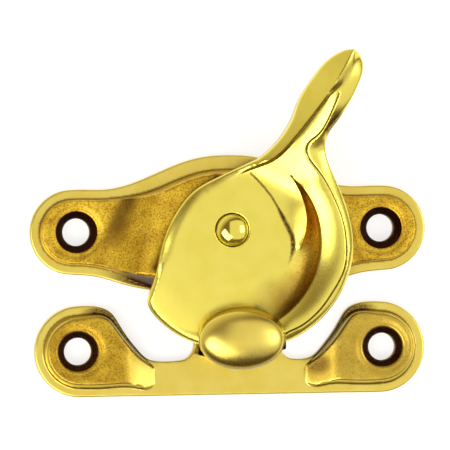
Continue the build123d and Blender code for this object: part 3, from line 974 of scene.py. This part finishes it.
def turned_tree():
    """Node tree that spins the modified mesh's points, in their order, round the Z axis."""
    tree = bpy.data.node_groups.new("turned_part", "GeometryNodeTree")
    for name, kind in (("Profile", "Geometry"), ("Steps Round", "Int"), ("Metal", "Material")):
        tree.interface.new_socket(name, in_out="INPUT", socket_type="NodeSocket" + kind)
    tree.interface.new_socket("Turned", in_out="OUTPUT", socket_type="NodeSocketGeometry")
    given = add_node(tree, "NodeGroupInput").outputs
    profile, steps = given["Profile"], given["Steps Round"]
    size = add_node(tree, "GeometryNodeAttributeDomainSize", inputs={0: profile})
    count = size.outputs["Point Count"]
    columns = add_node(tree, "ShaderNodeMath", {"operation": "ADD"}, {0: steps, 1: 1.0})
    grid = add_node(
        tree,
        "GeometryNodeMeshGrid",
        inputs={"Vertices X": columns.outputs[0], "Vertices Y": count},
    )
    index = add_node(tree, "GeometryNodeInputIndex").outputs[0]
    row = add_node(
        tree, "ShaderNodeMath", {"operation": "MODULO"}, {0: index, 1: count}
    ).outputs[0]
    share = add_node(
        tree, "ShaderNodeMath", {"operation": "DIVIDE"}, {0: index, 1: count}
    ).outputs[0]
    column = add_node(tree, "ShaderNodeMath", {"operation": "FLOOR"}, {0: share}).outputs[0]
    part = add_node(
        tree, "ShaderNodeMath", {"operation": "DIVIDE"}, {0: column, 1: steps}
    ).outputs[0]
    angle = add_node(
        tree, "ShaderNodeMath", {"operation": "MULTIPLY"}, {0: part, 1: math.tau}
    ).outputs[0]
    place = add_node(tree, "GeometryNodeInputPosition").outputs[0]
    point = add_node(
        tree,
        "GeometryNodeSampleIndex",
        {"data_type": "FLOAT_VECTOR", "domain": "POINT"},
        {"Geometry": profile, "Value": place, "Index": row},
    ).outputs["Value"]
    spun = add_node(
        tree,
        "ShaderNodeVectorRotate",
        {"rotation_type": "Z_AXIS"},
        {"Vector": point, "Angle": angle},
    ).outputs[0]
    shape = add_node(
        tree, "GeometryNodeSetPosition", inputs={0: grid.outputs["Mesh"], "Position": spun}
    ).outputs[0]
    closed = add_node(
        tree, "GeometryNodeMergeByDistance", inputs={0: shape, "Distance": 0.002 * MM}
    ).outputs[0]
    real = add_node(tree, "GeometryNodeRealizeInstances", inputs={0: closed}).outputs[0]
    done = add_node(
        tree, "GeometryNodeSetMaterial", inputs={0: real, "Material": given["Metal"]}
    ).outputs[0]
    add_node(tree, "NodeGroupOutput", inputs={0: done})
    return tree


turning = turned_tree()


def turned(name, profile, metal):
    """Plain mesh of a part turned from a profile of (radius, height) points."""
    mesh = bpy.data.meshes.new(name + "_profile")
    mesh.from_pydata([(r * MM, 0, z * MM) for r, z in profile], [], [])
    blank = bpy.data.objects.new(name + "_profile", mesh)
    bpy.context.scene.collection.objects.link(blank)
    spin = blank.modifiers.new("turned", "NODES")
    spin.node_group = turning
    given = {"Steps Round": STEPS_ROUND, "Metal": metal}
    for socket in turning.interface.items_tree:
        if socket.name in given:
            spin[socket.identifier] = given[socket.name]
    seen = blank.evaluated_get(bpy.context.evaluated_depsgraph_get())
    shape = bpy.data.meshes.new_from_object(seen)
    blank.modifiers.clear()
    bpy.data.objects.remove(blank)
    shape.name = name
    work = bmesh.new()
    work.from_mesh(shape)
    bmesh.ops.dissolve_degenerate(work, edges=work.edges, dist=0.001 * MM)
    bmesh.ops.recalc_face_normals(work, faces=work.faces)
    work.to_mesh(shape)
    work.free()
    shape.shade_smooth()
    shape.set_sharp_from_angle(angle=math.radians(40))
    piece = bpy.data.objects.new(name, shape)
    bpy.context.scene.collection.objects.link(piece)
    return piece


# The rivet's head is burnished by its setting tool, so it mirrors more sharply
burnished_brass = yellow_brass(
    "burnished_yellow_brass", ("#F4E76E", "#EFE162"), ("#F6CC50", "#DCA838"), 0.12
)
dome = [
    (HEAD_R * math.sin(t), HEAD_Z + HEAD_WALL + DOME_RISE * math.cos(t))
    for t in np.linspace(0, math.pi / 2, 25)
]
shank = [(HEAD_R, HEAD_Z + 0.05), (HEAD_R - 0.05, HEAD_Z), (SHANK_R, HEAD_Z), (SHANK_R, TAIL_Z)]
tail = [(2.82, 0), (2.9, -0.08), (2.75, -0.45), (1.9, -0.86), (0, -0.9)]
tail = [(r, TAIL_Z + z) for r, z in tail]
pivot_rivet = turned("rivet_turned", dome + shank + tail, burnished_brass)
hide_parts("pivot_rivet")
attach(pivot_rivet, "fixed")


# Tail washer.
# A plain washer stamped from brass sheet, with its corners broken, that the rivet's tail
# is spread against. It carries the pull of the spring washer over it.

TAIL_WASHER_IN_R, TAIL_WASHER_OUT_R = 2.1, 4.0
TAIL_WASHER_UNDER, TAIL_WASHER_TOP = 3.14, 3.94
CORNER = 0.08

tail_ring = [
    (TAIL_WASHER_IN_R + CORNER, TAIL_WASHER_TOP),
    (TAIL_WASHER_OUT_R - CORNER, TAIL_WASHER_TOP),
    (TAIL_WASHER_OUT_R, TAIL_WASHER_TOP - CORNER),
    (TAIL_WASHER_OUT_R, TAIL_WASHER_UNDER + CORNER),
    (TAIL_WASHER_OUT_R - CORNER, TAIL_WASHER_UNDER),
    (TAIL_WASHER_IN_R + CORNER, TAIL_WASHER_UNDER),
    (TAIL_WASHER_IN_R, TAIL_WASHER_UNDER + CORNER),
    (TAIL_WASHER_IN_R, TAIL_WASHER_TOP - CORNER),
]
tail_washer = turned("tail_washer_turned", [*tail_ring, tail_ring[0]], polished_brass)
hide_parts("tail_washer")
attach(tail_washer, "fixed")


# Spring washer.
# A dished washer of spring steel, pressed between the base plate's hollow and the tail
# washer. Its spring holds the cam down on the platform and gives the lever its drag.

# Spring steel, ground on a disc: a grey metal with fine rings about 0.2 mm apart and a
# faint straw tint from its tempering.
spring_steel, tree, output = empty_material("ground_spring_steel")
place = add_node(tree, "ShaderNodeTexCoord").outputs["Object"]
flat = add_node(
    tree, "ShaderNodeVectorMath", {"operation": "MULTIPLY"}, {0: place, 1: (1, 1, 0)}
).outputs[0]
radius = add_node(
    tree, "ShaderNodeVectorMath", {"operation": "LENGTH"}, {0: flat}
).outputs["Value"]
rings = add_node(
    tree,
    "ShaderNodeTexNoise",
    {"noise_dimensions": "1D"},
    {"W": radius, "Scale": 5000, "Detail": 2},
).outputs["Fac"]
tint = shades(tree, rings, (0.3, "#8E867A"), (0.7, "#B4AFA6"))
relief = add_node(
    tree, "ShaderNodeBump", inputs={"Height": rings, "Strength": 0.2, "Distance": 0.02 * MM}
).outputs["Normal"]
steel = add_node(
    tree,
    "ShaderNodeBsdfPrincipled",
    inputs={"Base Color": tint, "Metallic": 1.0, "Roughness": 0.35, "Normal": relief},
)
tree.links.new(steel.outputs[0], output.inputs["Surface"])
# half a section of the washer: low at its bore, high at its rim, 0.46 mm thick
dish = [(2.15, 4.48), (4.75, 5.16), (4.8, 5.12), (4.8, 4.72)]
dish += [(4.75, 4.66), (2.15, 3.99), (2.1, 4.03), (2.1, 4.43)]
spring_washer = turned("spring_washer_turned", [*dish, dish[0]], spring_steel)
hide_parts("spring_washer")
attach(spring_washer, "fixed")


# Studio.
# A plain white table in a warm dim room, under a broad soft light on the right, a strip
# on the left and a small fill, with the camera almost straight above.

# Each lamp's name, place, width, depth and power in watts
LAMPS = (
    ("broad_softbox", (0.66, 0.02, 1.0), 2.0, 2.0, 9.2),
    ("strip_softbox", (-0.39, -0.36, 0.85), 0.78, 0.52, 5.5),
    ("right_softbox", (0.7, 0.05, 0.71), 0.4, 0.4, 1.6),
)
# Towards the room's bright upper left corner
BRIGHT_SIDE = (-0.61, 0.61, -0.51)
TABLE_HALF = 4
TABLE_Z = -0.02 * MM
LENS = 400
CAMERA_REACH = 0.8175
LEAN = math.radians(5)
ROLL = math.radians(0.85)
TARGET = Vector((-0.69, 0.83, 4.0)) * MM

world = bpy.data.worlds.new("studio")
bpy.context.scene.world = world
world.use_nodes = True
tree = world.node_tree
tree.nodes.clear()
output = add_node(tree, "ShaderNodeOutputWorld")
direction = add_node(tree, "ShaderNodeTexCoord").outputs["Generated"]
side = add_node(
    tree, "ShaderNodeVectorMath", {"operation": "DOT_PRODUCT"}, {0: direction, 1: BRIGHT_SIDE}
).outputs["Value"]
room = shades(tree, side, (0.0, "#7A6650"), (0.12, "#A28E76"), (0.35, "#D4C8B2"), (0.6, "#F0E4CE"))
sky = add_node(tree, "ShaderNodeBackground", inputs={"Color": room, "Strength": 1.0})
tree.links.new(sky.outputs[0], output.inputs["Surface"])

for name, spot, width, depth, power in LAMPS:
    light = bpy.data.lights.new(name, "AREA")
    light.shape = "RECTANGLE"
    light.size, light.size_y = width, depth
    light.energy = power
    lamp = bpy.data.objects.new(name, light)
    lamp.location = spot
    lamp.rotation_euler = Vector(spot).to_track_quat("Z", "Y").to_euler()
    lamp.visible_camera = False
    bpy.context.scene.collection.objects.link(lamp)

# White laminate that the eye, a mirror and glass see as a white backdrop with the
# object's shadow on it, while the light that it sends back to the object stays plain
white_table, tree, output = empty_material("white_table")
path = add_node(tree, "ShaderNodeLightPath").outputs
shown = path["Is Camera Ray"]
for ray in ("Is Glossy Ray", "Is Transmission Ray"):
    shown = add_node(
        tree, "ShaderNodeMath", {"operation": "MAXIMUM"}, {0: shown, 1: path[ray]}
    ).outputs[0]
plain = add_node(tree, "ShaderNodeBsdfDiffuse", inputs={"Color": linear("#E6E6E6")})
dim = add_node(tree, "ShaderNodeBsdfDiffuse", inputs={"Color": linear("#B0B0B0")})
glow = add_node(tree, "ShaderNodeEmission", inputs={"Color": linear("#FFFFFF"), "Strength": 0.72})
pale = add_node(tree, "ShaderNodeAddShader", inputs={0: dim.outputs[0], 1: glow.outputs[0]})
mixed = add_node(
    tree, "ShaderNodeMixShader", inputs={0: shown, 1: plain.outputs[0], 2: pale.outputs[0]}
)
tree.links.new(mixed.outputs[0], output.inputs["Surface"])
mesh = bpy.data.meshes.new("table_top")
corners = ((-1, -1), (1, -1), (1, 1), (-1, 1))
corners = [(x * TABLE_HALF, y * TABLE_HALF, TABLE_Z) for x, y in corners]
mesh.from_pydata(corners, [], [(0, 1, 2, 3)])
mesh.materials.append(white_table)
table_top = bpy.data.objects.new("table_top", mesh)
bpy.context.scene.collection.objects.link(table_top)

back = Vector((-math.sin(LEAN), 0, math.cos(LEAN)))
level = Vector((math.cos(LEAN), 0, math.sin(LEAN)))
ahead = Vector((0, 1, 0))
right = level * math.cos(ROLL) - ahead * math.sin(ROLL)
up = level * math.sin(ROLL) + ahead * math.cos(ROLL)
lens = bpy.data.cameras.new("camera")
lens.lens = LENS
lens.sensor_width = 36
lens.clip_end = 10
camera = bpy.data.objects.new("camera", lens)
facing = Matrix((right, up, back)).transposed().to_4x4()
camera.matrix_world = Matrix.Translation(TARGET + back * CAMERA_REACH) @ facing
bpy.context.scene.collection.objects.link(camera)
bpy.context.scene.camera = camera
bpy.context.scene.view_settings.view_transform = "Standard"
